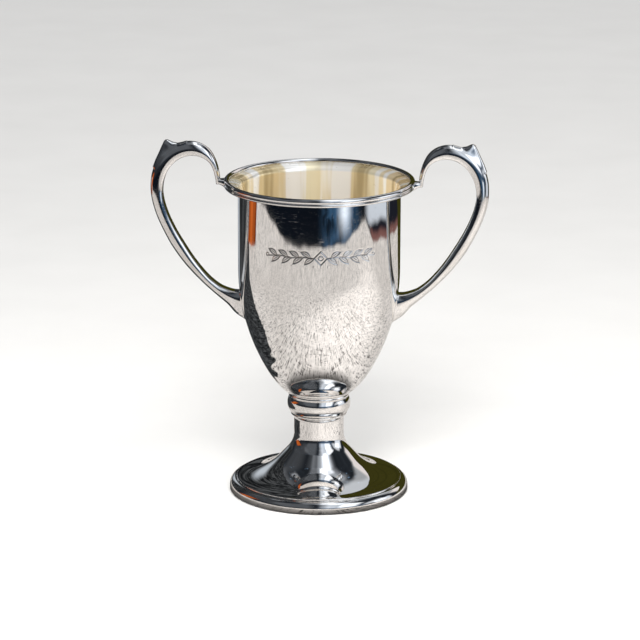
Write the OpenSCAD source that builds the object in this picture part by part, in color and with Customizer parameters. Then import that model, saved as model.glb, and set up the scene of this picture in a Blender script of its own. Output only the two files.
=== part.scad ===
// Two-handled trophy cup: a spun bowl on a collar and a trumpet foot, held down by a stud.
// Origin at the centre of the foot's resting plane, +Z up, the handles along X, millimetres.

/* [Bowl] */
// Outer radius of the bowl's straight upper side
body_r = 34; // [33.8:0.1:34.2]
// Thickness of the spun silver sheet
wall = 0.9; // [0.8:0.1:1]
// Height at which the straight side turns into the curved lower side
side_bottom_z = 97; // [96.5:0.5:97.5]
// Height at which the straight side turns out into the lip
side_top_z = 130.5; // [130.4:0.1:130.6]
// Radius of the long curve of the lower side
side_curve_r = 87; // [86:1:88]
// Radius of the tighter curve under it
belly_curve_r = 35; // [34.5:0.5:35.5]
// Radius of the curve that turns into the flat bottom
base_curve_r = 14; // [13.5:0.5:14.5]
// Slope from vertical where the side curve meets the belly curve, degrees
side_angle = 31; // [30.5:0.5:31.5]
// Slope from vertical where the belly curve meets the base curve, degrees
belly_angle = 52; // [51.5:0.5:52.5]
// Radius of the outward turn of the lip
lip_curve_r = 1.5; // [1.4:0.1:1.6]
// How far the lip turns out from vertical, degrees
lip_angle = 80; // [79:1:81]
// Distance from the axis to the lip's edge, inside the upper roll
lip_edge_r = 37.85; // [37.8:0.05:37.9]

/* [Rim mouldings] */
// Radius of the upper roll's section
roll_r = 1.15; // [1.1:0.05:1.2]
// Distance from the axis to the middle of the upper roll
roll_ring_r = 38.75; // [38.7:0.05:38.8]
// Height of the middle of the upper roll
roll_z = 133.85; // [133.8:0.05:133.9]
// Radius of the lower bead's section
bead_r = 0.7; // [0.65:0.05:0.75]
// Distance from the axis to the middle of the lower bead
bead_ring_r = 39.2; // [39.15:0.05:39.25]
// Height of the middle of the lower bead
bead_z = 132.35; // [132.3:0.05:132.4]

/* [Handles] */
// Width of a handle's flat inner face, across the cup
handle_w = 6; // [5.6:0.2:6.4]
// Width of the spread seat on the bowl
seat_w = 8.4; // [8:0.2:8.8]
// Width of the pointed thumb-piece
thumb_w = 4.8; // [4.4:0.2:5.2]

/* [Collar] */
// Greatest radius of the crowned collar
collar_r = 13.35; // [13.2:0.05:13.5]
// Radius of the collar's upper seat, under the bowl
collar_seat_r = 12.75; // [12.6:0.05:12.8]
// Radius of the hollow inside the collar
collar_bore_r = 8; // [7.5:0.5:8.5]
// Height of the collar's lower face
collar_z = 34.1; // [34:0.1:34.2]

/* [Foot] */
// Radius of the neck
neck_r = 10.6; // [10.5:0.1:10.7]
// Height at which the neck starts to flare
flare_z = 25; // [24.8:0.1:25.2]
// Radius of the upper, tighter curve of the flare
flare_curve_r = 10.4; // [10.2:0.1:10.6]
// Slope from vertical of the flare's straight stretch, degrees
flare_angle = 42.5; // [42:0.5:43]
// Length of the flare's straight stretch
flare_straight = 5.4; // [5.3:0.1:5.5]
// Radius of the wide curve that runs out to the edge
skirt_curve_r = 25.7; // [25.6:0.1:25.8]
// Height of the foot's top face
foot_top_z = 33; // [32.9:0.1:33.1]
// Radius of the foot plate's edge
plate_r = 34.95; // [34.9:0.05:35]

/* [Base moulding] */
// Height at which the quarter-round starts
ovolo_z = 1.9; // [1.8:0.1:2]
// Radius of the quarter-round
ovolo_r = 2.9; // [2.85:0.05:2.95]
// Inner radius of the ring that the cup rests on
rest_inner_r = 36.2; // [36:0.1:36.4]

/* [Fastening] */
// Radius of the stud
stud_r = 2; // [1.9:0.1:2]
// Height of the stud's lower end
stud_z = 25.4; // [25.2:0.1:25.6]
// Height of the stud's upper end, inside the boss
stud_top_z = 38.4; // [38.2:0.1:38.5]
// Radius of the boss under the bowl
boss_r = 6; // [5.5:0.5:6.5]
// Height of the boss's lower face
boss_z = 35.2; // [35:0.1:35.4]

/* [Hidden] */
$fn = 96;

silver = [0.80, 0.80, 0.82];
bright_silver = [0.88, 0.88, 0.90];
brass = [0.78, 0.62, 0.32];

curve_steps = 7;             // straight pieces in each arc of an outline
outline_clear = 10;          // how far a cutting shape runs past what it cuts

// Points of an arc about centre c, from angle a to angle b
function arc(c, r, a, b, n = curve_steps) =
    [for (i = [0:n]) c + r * [cos(a + (b - a) * i / n), sin(a + (b - a) * i / n)]];
function reversed(list) = [for (i = [len(list) - 1:-1:0]) list[i]];
function last(list) = list[len(list) - 1];

// ---- bowl: four arcs, each tangent to the next ----
side_c = [body_r - side_curve_r, side_bottom_z];
belly_c = side_c + (side_curve_r - belly_curve_r) * [cos(side_angle), -sin(side_angle)];
base_c = belly_c + (belly_curve_r - base_curve_r) * [cos(belly_angle), -sin(belly_angle)];
lip_c = [body_r + lip_curve_r, side_top_z];
lip_normal = [-cos(lip_angle), sin(lip_angle)];                 // square to the flat of the lip, inwards
lip_bend_end = lip_c + lip_curve_r * lip_normal;
lip_edge = [lip_edge_r, lip_bend_end[1] + (lip_edge_r - lip_bend_end[0]) / tan(lip_angle)];

// The bowl's surface from the middle of its bottom to the lip, moved d inwards
function bowl_line(d) = concat(
    [[0, base_c[1] - base_curve_r + d]],
    arc(base_c, base_curve_r - d, -90, -belly_angle),
    arc(belly_c, belly_curve_r - d, -belly_angle, -side_angle),
    arc(side_c, side_curve_r - d, -side_angle, 0),
    arc(lip_c, lip_curve_r + d, 180, 180 - lip_angle),
    [lip_edge + d * lip_normal]);

module bowl_section() polygon(concat(bowl_line(0), reversed(bowl_line(wall))));

// The bowl with its inside filled, for cutting the pieces that seat on it
module bowl_envelope() {
    outer = bowl_line(0);
    rotate_extrude() polygon(concat(outer, [[0, last(outer)[1]]]));
}

module bowl() color(silver) rotate_extrude() bowl_section();

// ---- rim mouldings ----
module roll_disc() translate([roll_ring_r, roll_z]) circle(roll_r);
module bead_disc() translate([bead_ring_r, bead_z]) circle(bead_r);

// The roll has a root that closes the corner between the lip's edge and the bead
root_r = 37.8;
root_z = 132.2;
module rim_roll() color(bright_silver) rotate_extrude() difference() {
    union() {
        roll_disc();
        translate([root_r, root_z]) square([bead_ring_r - root_r, roll_z - root_z]);
    }
    bead_disc();
    bowl_section();
}

module rim_bead() color(bright_silver) rotate_extrude() bead_disc();

// ---- handles ----
// Stations along the middle of a handle, from the rim to inside the bowl's wall:
// distance from the axis, height, thickness
stations = [
    [42.2, 131.9, 1.8], [42.5, 135, 1.9], [43.2, 138.5, 2.2], [44.6, 142, 2.8],
    [47.3, 145.1, 4.4], [50.8, 146.8, 5.5], [54.6, 147.1, 6.0], [58.6, 146, 6.1],
    [62.3, 143.6, 6.1], [65.2, 140.2, 6.0], [67.2, 136, 5.8], [68.1, 131, 5.3],
    [67.8, 125.5, 5.0], [66, 119, 4.9], [62.9, 112, 4.9], [59.2, 105.4, 5.0],
    [54.1, 98, 4.5], [48.2, 91.3, 3.9], [43.6, 87.2, 4.1], [40.4, 85, 5.0],
    [36.8, 83, 6.9], [33, 81.2, 10.8], [29.5, 80, 13]];
station_steps = 2;           // pieces between two stations
last_station = len(stations) - 1;

// Smooth curve through the stations
function station(i) = stations[max(0, min(last_station, i))];
function between(i, t) =
    0.5 * (2 * station(i) + (station(i + 1) - station(i - 1)) * t
           + (2 * station(i - 1) - 5 * station(i) + 4 * station(i + 1) - station(i + 2)) * t * t
           + (3 * station(i) - station(i - 1) - 3 * station(i + 1) + station(i + 2)) * t * t * t);
path = concat([for (i = [0:last_station - 1], k = [0:station_steps - 1]) between(i, k / station_steps)],
              [station(last_station)]);
last_path = len(path) - 1;

// Unit vector across the handle at a point of its path, towards its outer side
function across(i) =
    let (d = path[min(last_path, i + 1)] - path[max(0, i - 1)], run = norm([d[0], d[1]]))
    [-d[1], d[0]] / run;
function side(i, share) = [path[i][0], path[i][1]] + across(i) * path[i][2] * share;

// Side view of a handle, with part of its thickness taken off the rounded outer side
module handle_outline(taken) polygon(concat(
    [for (i = [0:last_path]) side(i, 0.5 - taken)],
    [for (i = [last_path:-1:0]) side(i, -0.5)]));

// Slabs that step round the handle's outer side: share of the width, share of the thickness taken
slabs = [[1, 0.36], [0.8, 0.14], [0.5, 0]];

thumb_root = [59.2, 148.2];
thumb_peak = [64, 150.7];
thumb_outline = [thumb_root, [61.2, 149], [62.6, 150], thumb_peak, [65.2, 149.6],
                 [67.2, 146.4], [69.6, 141.2], [66, 138], [60, 143]];
seat_end_r = 42;             // the seat spreads from here to the bowl

module across_cup(width) rotate([90, 0, 0]) linear_extrude(width, center = true) children();

module handle() color(silver) difference() {
    union() {
        for (s = slabs) across_cup(handle_w * s[0]) handle_outline(s[1]);
        across_cup(thumb_w) polygon(thumb_outline);
        across_cup(seat_w) intersection() {
            handle_outline(0.2);
            square([seat_end_r, side_bottom_z]);
        }
        rim_lug();
    }
    bowl_envelope();
    rotate_extrude() roll_disc();
    rotate_extrude() bead_disc();
}

// The end of the handle that is soldered to the rim
lug_r = 39;
lug_z = 131.95;
lug_h = 2.2;
lug_t = 3.3;
lug_w = 4.2;
module rim_lug() translate([lug_r, -lug_w / 2, lug_z]) cube([lug_t, lug_w, lug_h]);

module handle_right() handle();
module handle_left() mirror([1, 0, 0]) handle();

// ---- boss, collar and bead between bowl and foot ----
module bowl_boss() color(brass) difference() {
    translate([0, 0, boss_z]) cylinder(h = base_c[1] - base_curve_r - boss_z + outline_clear, r = boss_r);
    bowl_envelope();
    translate([0, 0, boss_z - outline_clear]) cylinder(h = stud_top_z - boss_z + outline_clear, r = stud_r);
}

collar_crown_z = 37.2;       // height where the crowned face starts
collar_shoulder_z = 38.6;    // height where it starts to draw in
collar_neck_z = 41.1;        // height of the notch under the bowl
collar_foot_r = 11.95;       // radius of the lower edge
module collar() color(bright_silver) difference() {
    rotate_extrude() polygon(concat(
        [[collar_bore_r, collar_z], [collar_foot_r, collar_z], [12.5, 35], [13, 36.1]],
        [[collar_r, collar_crown_z], [collar_r, collar_shoulder_z], [collar_r - 0.2, 39.8], [12.85, 40.7]],
        [[12.6, collar_neck_z], [collar_seat_r, collar_neck_z + 0.3], [collar_seat_r, collar_neck_z + 2]],
        [[collar_bore_r, collar_neck_z + 2]]));
    bowl_envelope();
}

neck_bead_r = 0.65;          // rounding of the neck bead's outer side
neck_bead_inner_r = 9;
module neck_bead() color(silver) rotate_extrude() polygon(concat(
    [[neck_bead_inner_r, collar_z], [neck_bead_inner_r, foot_top_z]],
    arc([collar_foot_r - neck_bead_r, (collar_z + foot_top_z) / 2], (collar_z - foot_top_z) / 2, -90, 90)));

// ---- foot ----
flare_c = [neck_r + flare_curve_r, flare_z];
straight_start = flare_c - flare_curve_r * [cos(flare_angle), sin(flare_angle)];
straight_end = straight_start + flare_straight * [sin(flare_angle), -cos(flare_angle)];
skirt_c = straight_end + skirt_curve_r * [cos(flare_angle), sin(flare_angle)];
skirt_end_angle = 267;       // where the skirt curve stops, nearly flat
neck_turn_z = 31;            // height where the neck turns out under the bead
neck_top_r = 11.1;

// The foot's upper surface from the neck to the plate's edge, moved d inwards
function foot_line(d) = concat(
    [[neck_top_r - d, foot_top_z], [neck_r + 0.1 - d, neck_turn_z + 0.8], [neck_r - d, neck_turn_z]],
    arc(flare_c, flare_curve_r + d, 180, 180 + flare_angle),
    arc(skirt_c, skirt_curve_r + d, 180 + flare_angle, skirt_end_angle));

edge_round = 0.25;
module foot_section() {
    top = foot_line(0);
    under = [for (p = foot_line(wall)) [p[0], min(p[1], foot_top_z - wall)]];
    plate_z = last(top)[1];
    difference() {
        polygon(concat([[0, foot_top_z]], top,
            [[plate_r, plate_z - edge_round], [plate_r, plate_z - wall]],
            reversed(under), [[0, foot_top_z - wall]]));
        square([hole_r, foot_top_z + outline_clear]);
    }
}
module foot() color(silver) rotate_extrude() foot_section();

foot_floor_z = skirt_c[1] + skirt_curve_r * sin(skirt_end_angle) - wall;
moulding_wall = 1.3;
moulding_inner_r = 33.4;
edge_chamfer = 0.4;
module base_moulding() color(silver) rotate_extrude() polygon(concat(
    [[moulding_inner_r, foot_floor_z]],
    arc([plate_r, ovolo_z], foot_floor_z - ovolo_z, 90, 0),
    [[plate_r + ovolo_r, edge_chamfer], [plate_r + ovolo_r - edge_chamfer, 0], [rest_inner_r, 0]],
    arc([rest_inner_r - moulding_wall, ovolo_z - edge_chamfer], moulding_wall, 0, 90),
    [[moulding_inner_r, ovolo_z - edge_chamfer + moulding_wall]]));

// ---- fastening inside the neck ----
hole_r = 2.3;                // clearance holes for the stud
dished_r = 8.4;
dished_h = 1.1;
lock_r = 3.9;
lock_h = 0.9;
nut_flats = 7;
nut_h = 3.2;
washer_top_z = foot_top_z - wall;
lock_top_z = washer_top_z - dished_h;
nut_top_z = lock_top_z - lock_h;

module ring(outer, inner, h, z, sides = $fn) translate([0, 0, z]) difference() {
    cylinder(h = h, r = outer, $fn = sides);
    translate([0, 0, -outline_clear]) cylinder(h = h + 2 * outline_clear, r = inner);
}

module tie_stud() color(brass) translate([0, 0, stud_z]) cylinder(h = stud_top_z - stud_z, r = stud_r);
module dished_washer() color(brass) ring(dished_r, hole_r, dished_h, washer_top_z - dished_h);
module lock_washer() color(silver) ring(lock_r, hole_r, lock_h, lock_top_z - lock_h);
module hex_nut() color(brass) ring(nut_flats / 2 / cos(30), stud_r, nut_h, nut_top_z - nut_h, 6);

bowl();
rim_roll();
rim_bead();
handle_left();
handle_right();
bowl_boss();
collar();
neck_bead();
foot();
base_moulding();
tie_stud();
dished_washer();
lock_washer();
hex_nut();
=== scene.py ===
"""Silver cup trophy: visual model round the CAD frame, with a plain studio stage."""
import math

import bmesh
import bpy
import numpy as np
from mathutils import Matrix, Vector


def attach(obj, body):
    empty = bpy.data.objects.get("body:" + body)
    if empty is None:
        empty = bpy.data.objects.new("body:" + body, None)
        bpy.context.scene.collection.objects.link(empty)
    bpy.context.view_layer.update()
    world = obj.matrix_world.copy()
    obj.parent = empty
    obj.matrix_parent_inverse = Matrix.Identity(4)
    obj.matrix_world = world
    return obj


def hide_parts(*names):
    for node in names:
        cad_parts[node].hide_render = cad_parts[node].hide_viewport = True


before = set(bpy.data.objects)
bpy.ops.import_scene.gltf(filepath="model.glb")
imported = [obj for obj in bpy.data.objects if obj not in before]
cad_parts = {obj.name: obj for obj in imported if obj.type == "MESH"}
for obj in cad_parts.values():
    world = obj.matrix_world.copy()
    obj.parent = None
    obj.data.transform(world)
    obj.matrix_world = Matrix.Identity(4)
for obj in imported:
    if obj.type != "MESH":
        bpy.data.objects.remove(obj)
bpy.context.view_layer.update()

MM = 0.001
TAU = 2 * math.pi


# ---------------- outlines
class Outline:
    """Closed (r, z) outline in mm with its normals and materials, solid on the left of the way round."""

    def __init__(self):
        self.points, self.normals, self.parts = [], [], []

    def add(self, point, normal, part=0):
        if self.points and math.dist(self.points[-1], point) < 1e-6:
            return
        self.points.append(tuple(point))
        self.normals.append(tuple(normal))
        self.parts.append(part)

    def arc(self, centre, radius, start, end, steps, part=0):
        sign = 1 if end > start else -1
        for i in range(steps + 1):
            a = math.radians(start + (end - start) * i / steps)
            c, s = math.cos(a), math.sin(a)
            self.add((centre[0] + radius * c, centre[1] + radius * s), (sign * c, sign * s), part)

    def line(self, end, steps, part=0):
        """Straight on from the last point, with its normal taken from the line."""
        x0, z0 = self.points[-1]
        dx, dz = end[0] - x0, end[1] - z0
        n = math.hypot(dx, dz)
        normal = (dz / n, -dx / n)
        for i in range(1, steps + 1):
            self.add((x0 + dx * i / steps, z0 + dz * i / steps), normal, part)


def rounded(corners, steps):
    """Closed outline of (r, z, fillet radius) corners, counter-clockwise."""
    out = Outline()
    count = len(corners)
    for i, (x, z, radius) in enumerate(corners):
        p = np.array((x, z), float)
        a = np.array(corners[i - 1][:2], float) - p
        b = np.array(corners[(i + 1) % count][:2], float) - p
        la, lb = np.linalg.norm(a), np.linalg.norm(b)
        a, b = a / la, b / lb
        half = math.acos(max(-1.0, min(1.0, float(a @ b)))) / 2
        cut = min(radius / math.tan(half), 0.49 * la, 0.49 * lb)
        radius = cut * math.tan(half)
        turn = 1 if (-a[0] * b[1] + a[1] * b[0]) > 0 else -1
        na = np.array((-a[1], a[0]))
        centre = p + a * cut - na * radius * turn
        start = p + a * cut - centre
        end = p + b * cut - centre
        s = math.atan2(start[1], start[0])
        sweep = math.atan2(end[1], end[0]) - s
        sweep = (sweep + math.pi) % TAU - math.pi
        for k in range(steps + 1):
            g = s + sweep * k / steps
            c, d = math.cos(g), math.sin(g)
            out.add((centre[0] + radius * c, centre[1] + radius * d), (turn * c, turn * d))
    return out


# ---------------- meshes
def object_from(name, verts, faces, normals, materials, face_parts=None, grooves=None):
    """Smooth mesh object in metres. grooves is how deep each point lies in a cut, for the material."""
    mesh = bpy.data.meshes.new(name)
    mesh.from_pydata(np.asarray(verts).tolist(), [], faces)
    for m in materials:
        mesh.materials.append(m)
    if face_parts is not None:
        mesh.polygons.foreach_set("material_index", face_parts)
    mesh.polygons.foreach_set("use_smooth", [True] * len(mesh.polygons))
    if grooves is not None:
        layer = mesh.attributes.new("groove", "FLOAT", "POINT")
        layer.data.foreach_set("value", np.asarray(grooves, np.float32))
    mesh.update()
    mesh.normals_split_custom_set_from_vertices(np.asarray(normals).tolist())
    ob = bpy.data.objects.new(name, mesh)
    bpy.context.collection.objects.link(ob)
    return ob


def grid_faces(rows, cols):
    return [(i * cols + j, (i + 1) * cols + j, (i + 1) * cols + (j + 1) % cols, i * cols + (j + 1) % cols)
            for i in range(rows - 1) for j in range(cols)]


def even_angles(count):
    return np.arange(count) * TAU / count


def lathe(name, outline, materials, angles, relief=None):
    """Turns an outline round Z. relief(angle, z, nr) moves it along its normal and gives the groove share."""
    pts, nor = np.array(outline.points), np.array(outline.normals)
    pole = pts[:, 0] < 1e-6
    rows, cols = len(pts), len(angles)
    r, z = pts.T[..., None]
    nr, nz = nor.T[..., None]
    cos, sin = np.cos(angles)[None, :], np.sin(angles)[None, :]
    move = groove = np.zeros((rows, cols))
    slope_s = slope_t = 0.0
    if relief is not None:
        move, groove = relief(*np.broadcast_arrays(angles[None, :], z, nr))
        run = np.r_[0, np.cumsum(np.maximum(np.linalg.norm(np.diff(pts, axis=0), axis=1), 1e-4))]
        slope_s = np.gradient(move, run, axis=0)
        wide = np.concatenate([move[:, -1:], move, move[:, :1]], axis=1)
        turn = np.r_[angles[-1] - TAU, angles, angles[0] + TAU]
        slope_t = np.gradient(wide, turn, axis=1)[:, 1:-1] / np.maximum(r, 0.5)
    rr, zz = r + move * nr, z + move * nz
    x, y = rr * cos, rr * sin
    # the outline's tangent is (-nz, nr) and the way round is (-sin, cos)
    n_r = nr + slope_s * nz
    n_z = nz - slope_s * nr
    nx = n_r * cos + slope_t * sin
    ny = n_r * sin - slope_t * cos
    grid = np.stack([x, y, zz + 0 * x], -1)
    norm = np.stack([nx, ny, n_z + 0 * nx], -1)
    norm /= np.linalg.norm(norm, axis=-1, keepdims=True)
    verts, normals, grooves, index = [], [], [], []
    for i in range(rows):
        if pole[i]:
            index.append([len(verts)] * cols)
            verts.append(grid[i, 0] * (0, 0, 1))
            normals.append((0, 0, 1.0 if nor[i, 1] > 0 else -1.0))
            grooves.append(0.0)
        else:
            index.append(list(range(len(verts), len(verts) + cols)))
            verts.extend(grid[i])
            normals.extend(norm[i])
            grooves.extend(groove[i])
    faces, parts = [], []
    for i in range(rows):
        a, b = index[i], index[(i + 1) % rows]
        if pole[i] and pole[(i + 1) % rows]:
            continue
        part = outline.parts[i] if i + 1 == rows else max(outline.parts[i], outline.parts[i + 1])
        for j in range(cols):
            k = (j + 1) % cols
            if pole[i]:
                faces.append((a[j], b[k], b[j]))
            elif pole[(i + 1) % rows]:
                faces.append((a[j], a[k], b[j]))
            else:
                faces.append((a[j], a[k], b[k], b[j]))
            parts.append(part)
    return object_from(name, np.array(verts) * MM, faces, normals, materials, parts, grooves)


def wobble(seed, amount, lobes, rise):
    """Slow waviness of hand-finished metal: a few waves round and along, in mm."""
    rng = np.random.default_rng(seed)
    waves = [(int(rng.integers(1, lobes + 1)), rng.uniform(-1, 1) * rise, rng.uniform(0, TAU),
              rng.uniform(0.4, 1.0)) for _ in range(7)]
    total = sum(w[3] for w in waves)

    def field(angle, z):
        return amount * sum(g * np.sin(k * angle + q * z + p) for k, q, p, g in waves) / total

    return field


# ---------------- bowl
BODY_R, WALL = 34.0, 0.9
SIDE_BOTTOM_Z, SIDE_TOP_Z = 97.0, 130.5
SIDE_CURVE, BELLY_CURVE, BASE_CURVE = 87.0, 35.0, 14.0
SIDE_ANGLE, BELLY_ANGLE = 31.0, 52.0
LIP_CURVE, LIP_END, LIP_EDGE_R = 1.5, 100.0, 37.85


def polar(radius, degrees):
    return np.array((radius * math.cos(math.radians(degrees)), radius * math.sin(math.radians(degrees))))


side_c = np.array((BODY_R - SIDE_CURVE, SIDE_BOTTOM_Z))
belly_c = side_c + polar(SIDE_CURVE - BELLY_CURVE, -SIDE_ANGLE)
base_c = belly_c + polar(BELLY_CURVE - BASE_CURVE, -BELLY_ANGLE)
lip_c = np.array((BODY_R + LIP_CURVE, SIDE_TOP_Z))
lip_n = polar(1, LIP_END)
lip_bend = lip_c + LIP_CURVE * lip_n
lip_edge = np.array((LIP_EDGE_R, lip_bend[1] - (LIP_EDGE_R - lip_bend[0]) * lip_n[0] / lip_n[1]))

# Engraved band, in mm along the bowl's side
BAND_Z, BAND_HALF_H, BAND_HALF_L = 109.4, 3.1, 24.5
BAND_ANGLE = math.radians(-85.4)
BAND_STEP = 0.15             # mesh step under the band
LOZENGE_HALF_L, LOZENGE_HALF_H, LOZENGE_RING_R = 2.7, 2.9, 0.95
LEAVES, FIRST_LEAF, LEAF_PITCH = 4, 5.6, 4.9
LEAF_L, LEAF_W, LEAF_LEAN, LEAF_RISE = 4.6, 1.75, 34.0, 1.25
HATCH_PITCH, BUD_R = 0.62, 0.62
DEEPEST = 0.13


def bowl_outline():
    """The whole way round the spun sheet: up the outside, over the lip and down the gilt inside."""
    out = Outline()
    out.add((0, base_c[1] - BASE_CURVE), (0, -1))
    out.arc(base_c, BASE_CURVE, -90, -BELLY_ANGLE, 10)
    out.arc(belly_c, BELLY_CURVE, -BELLY_ANGLE, -SIDE_ANGLE, 14)
    out.arc(side_c, SIDE_CURVE, -SIDE_ANGLE, 0, 34)
    low, high = BAND_Z - BAND_HALF_H - 0.4, BAND_Z + BAND_HALF_H + 0.4
    out.line((BODY_R, low), 6)
    out.line((BODY_R, high), round((high - low) / BAND_STEP))
    out.line((BODY_R, SIDE_TOP_Z), 14)
    out.arc(lip_c, LIP_CURVE, 180, LIP_END, 10)
    out.line(lip_edge, 5)
    out.add(lip_edge + WALL * lip_n, lip_n, 1)
    out.line(lip_bend + WALL * lip_n, 6, 1)
    out.arc(lip_c, LIP_CURVE + WALL, LIP_END, 180, 12, 1)
    out.line((BODY_R - WALL, SIDE_BOTTOM_Z), 12, 1)
    out.arc(side_c, SIDE_CURVE - WALL, 0, -SIDE_ANGLE, 24, 1)
    out.arc(belly_c, BELLY_CURVE - WALL, -SIDE_ANGLE, -BELLY_ANGLE, 12, 1)
    out.arc(base_c, BASE_CURVE - WALL, -BELLY_ANGLE, -90, 10, 1)
    out.add((0, base_c[1] - BASE_CURVE + WALL), (0, 1), 1)
    return out


def leaf(x, y, length, width):
    """Signed distance, roughly, to a pointed leaf lying along x."""
    t = np.clip(2 * x / length, -1.2, 1.2)
    edge = width / 2 * (1 - t * t)
    slope = 2 * width / length * np.abs(t)
    return (np.abs(y) - edge) / np.sqrt(1 + slope * slope)


def cut(distance, half_width, depth):
    """Round-bottomed graver cut."""
    t = np.clip(1 - np.abs(distance) / half_width, 0, 1)
    return depth * t * t * (3 - 2 * t)


def engraving(u, v):
    """Depth in mm at arc position u and height v of a band of leaves, both ways from a lozenge."""
    a = np.abs(u)
    cuts = [cut((a / LOZENGE_HALF_L + np.abs(v) / LOZENGE_HALF_H - 1) * 1.95, 0.36, DEEPEST),
            cut(np.hypot(u, v) - LOZENGE_RING_R, 0.28, 0.09)]
    for k in range(LEAVES):
        for sign, shift in ((1, 0.35), (-1, -0.75)):
            lean = math.radians(LEAF_LEAN * sign)
            x = a - (FIRST_LEAF + LEAF_PITCH * k) - shift
            y = v - sign * LEAF_RISE
            along = x * math.cos(lean) + y * math.sin(lean)
            bend = -x * math.sin(lean) + y * math.cos(lean) + 0.07 * along * along - 0.15
            shape = leaf(along, bend, LEAF_L, LEAF_W)
            vein = np.where(np.abs(along) < 1.7, np.abs(bend), 9)
            hatch = np.abs(((along + np.abs(bend) * 0.8) / HATCH_PITCH) % 1 - 0.5) * HATCH_PITCH
            cuts += [cut(shape, 0.33, 0.12), cut(vein, 0.22, 0.08),
                     np.where(shape < -0.12, cut(hatch, 0.17, 0.045), 0)]
    stem = v - 0.35 * np.sin((a - FIRST_LEAF) * TAU / (2 * LEAF_PITCH))
    inside = (a > 3.0) & (a < BAND_HALF_L - 1.4)
    bud = np.hypot(a - (BAND_HALF_L - 0.9), v) - BUD_R
    cuts += [np.where(inside, cut(stem, 0.27, 0.10), 0), cut(bud, 0.28, 0.10)]
    return np.maximum.reduce(cuts)


def build_bowl(silver, gilt):
    half = BAND_HALF_L / BODY_R + math.radians(1.5)
    count = round(2 * half * BODY_R / BAND_STEP)
    dense = np.linspace(-half, half, count)
    rest = np.linspace(half, TAU - half, 132)[1:-1]
    angles = np.concatenate([dense, rest]) + BAND_ANGLE
    wave_out = wobble(3, 0.035, 5, 0.12)
    wave_in = wobble(4, 0.05, 6, 0.03)

    def relief(angle, z, nr):
        outside = nr > -0.02
        fade = np.clip((z - 46) / 8, 0, 1) * np.clip((130 - z) / 3, 0, 1)
        wave = np.where(outside, wave_out(angle, z), wave_in(angle, z)) * fade
        u = BODY_R * ((angle - BAND_ANGLE + math.pi) % TAU - math.pi)
        v = z - BAND_Z
        window = (np.abs(u) < BAND_HALF_L + 0.6) & (np.abs(v) < BAND_HALF_H + 0.3) & outside
        depth = np.where(window, engraving(u, v), 0)
        return wave - depth, depth / DEEPEST

    return lathe("bowl_shell", bowl_outline(), [silver, gilt], angles, relief)


# ---------------- round mouldings
def ring_relief(seed, amount, lobes=9):
    """Waviness that only takes metal away, so that the ring stays inside its true size."""
    wave = wobble(seed, amount, lobes, 0.25)

    def relief(angle, z, nr):
        return wave(angle, z) - amount, np.zeros(angle.shape)

    return relief


ROLL, ROLL_R = (38.75, 133.85), 1.15
BEAD, BEAD_R = (39.2, 132.35), 0.7


def bead_outline(steps=28):
    out = Outline()
    out.arc(BEAD, BEAD_R, -180, 180 - 360 / steps, steps - 1)
    return out


def roll_outline():
    """The rolled rim, open below where it grips the lip's edge."""
    out = Outline()
    out.arc(ROLL, ROLL_R, -82, 212, 40)
    out.add((37.72, 132.6), (-1, 0))
    out.add((37.78, 132.28), (-0.7, -0.7))
    out.add((38.0, 132.22), (0, -1))
    out.add((38.9, 132.22), (0, -1))
    return out


def spline(rows, span):
    """Catmull-Rom curve through rows of numbers, span steps from row to row: its points and slopes."""
    p = np.array([rows[0]] + list(rows) + [rows[-1]], float)
    points, slopes = [], []
    for i in range(1, len(p) - 2):
        a, b, c, d = p[i - 1:i + 3]
        e, f = 2 * a - 5 * b + 4 * c - d, 3 * b - a - 3 * c + d
        for k in range(span + (1 if i == len(p) - 3 else 0)):
            t = k / span
            points.append(0.5 * (2 * b + (c - a) * t + e * t * t + f * t ** 3))
            slopes.append(0.5 * ((c - a) + 2 * e * t + 3 * f * t * t))
    return np.array(points), np.array(slopes)


def smooth_chain(points, span, out):
    """Adds a smooth curve through (r, z) points to an outline."""
    for point, slope in zip(*spline(points, span)):
        slope = slope / np.linalg.norm(slope)
        out.add(point, (slope[1], -slope[0]))


COLLAR_Z, COLLAR_SEAT_Z, COLLAR_BORE_R = 34.1, 42.75, 8.0


def collar_outline():
    """Flat under side, crowned lower part, a groove, a small roll under the bowl, and the hollow inside."""
    out = Outline()
    for r in (COLLAR_BORE_R, 10.0, 11.7):
        out.add((r, COLLAR_Z), (0, -1))
    smooth_chain([(11.7, COLLAR_Z), (12.0, 34.16), (12.22, 34.42), (12.6, 35.1), (13.0, 35.95), (13.26, 36.8),
                  (13.35, 37.6), (13.35, 38.3), (13.28, 39.1), (13.13, 39.8), (12.92, 40.4), (12.7, 40.85),
                  (12.58, 41.06), (12.68, 41.22), (12.82, 41.45), (12.86, 41.8), (12.78, 42.2), (12.6, 42.6)],
                 4, out)
    out.add((12.4, COLLAR_SEAT_Z - 0.03), (0, 1))
    out.add((COLLAR_BORE_R, COLLAR_SEAT_Z), (0, 1))
    out.add((COLLAR_BORE_R - 0.02, COLLAR_SEAT_Z - 0.05), (-1, 0))
    out.add((COLLAR_BORE_R - 0.02, COLLAR_Z + 0.1), (-1, 0))
    return out


def neck_bead_outline():
    return rounded([(9, 33, 0.1), (11.35, 33, 0.05), (11.86, 33.2, 0.3), (11.9, 33.85, 0.3),
                    (11.35, 34.1, 0.05), (9, 34.1, 0.1)], 6)


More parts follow.
